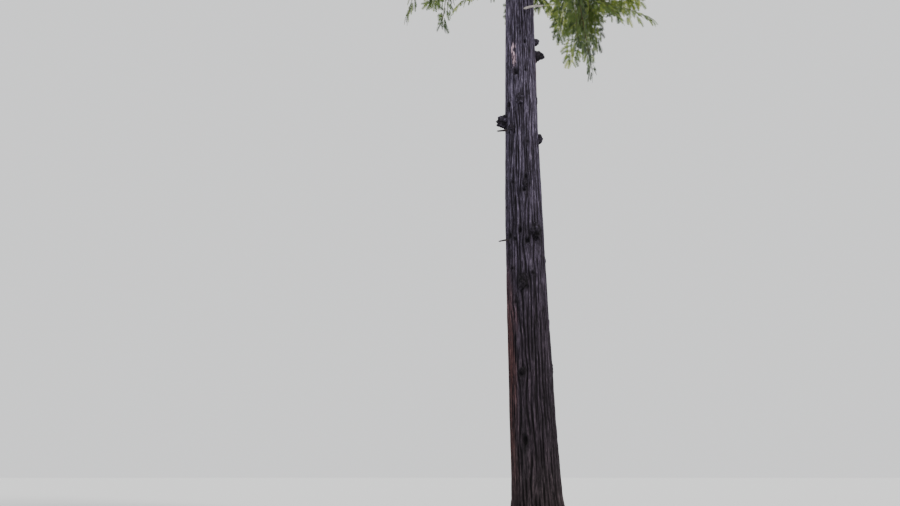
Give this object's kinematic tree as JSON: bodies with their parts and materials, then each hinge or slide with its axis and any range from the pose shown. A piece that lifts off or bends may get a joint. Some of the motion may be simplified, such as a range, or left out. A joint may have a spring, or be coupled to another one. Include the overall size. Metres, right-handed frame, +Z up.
{
  "type": "redwood tree",
  "caption": "Tall conifer with one straight furrowed trunk flared at the foot, short dead limbs, and a narrow crown of boughs carrying sprays of needles.",
  "frame": {"origin": "centre of the flat cut under the trunk, at ground level", "axes": "+Z up the trunk; -Y is the side that the picture shows, with +X to its right"},
  "size_m": [7.1835, 7.7442, 40],
  "materials": {
    "bark": "rough, deeply furrowed purple-grey bark",
    "limb_bark": "rough brown bark",
    "dead_wood": "weathered grey dead wood",
    "foliage": "soft-gloss green needles"
  },
  "bodies": {
    "root": {"trunk": "bark", "dead_stub_1": "dead_wood", "dead_stub_2": "dead_wood", "dead_stub_3": "dead_wood", "dead_stub_4": "dead_wood", "bough_01": "limb_bark", "bough_02": "limb_bark", "bough_03": "limb_bark", "bough_04": "limb_bark", "bough_05": "limb_bark", "bough_06": "limb_bark", "bough_07": "limb_bark", "bough_08": "limb_bark", "foliage_01": "foliage", "foliage_02": "foliage", "foliage_03": "foliage", "foliage_04": "foliage", "foliage_05": "foliage", "foliage_06": "foliage", "foliage_07": "foliage", "foliage_08": "foliage", "foliage_09": "foliage", "foliage_10": "foliage", "foliage_11": "foliage", "foliage_12": "foliage", "foliage_13": "foliage", "foliage_14": "foliage", "foliage_15": "foliage", "foliage_16": "foliage", "foliage_17": "foliage", "foliage_18": "foliage", "foliage_19": "foliage", "foliage_20": "foliage", "foliage_21": "foliage", "foliage_22": "foliage", "foliage_23": "foliage", "foliage_24": "foliage", "foliage_25": "foliage", "foliage_26": "foliage", "foliage_27": "foliage", "foliage_28": "foliage", "foliage_29": "foliage", "foliage_30": "foliage", "foliage_31": "foliage", "foliage_32": "foliage", "foliage_33": "foliage", "foliage_34": "foliage", "foliage_35": "foliage", "foliage_36": "foliage", "foliage_37": "foliage", "foliage_38": "foliage", "foliage_39": "foliage", "foliage_40": "foliage", "foliage_41": "foliage", "foliage_42": "foliage", "foliage_43": "foliage", "foliage_44": "foliage", "foliage_45": "foliage", "foliage_46": "foliage"}
  },
  "joints": []
}
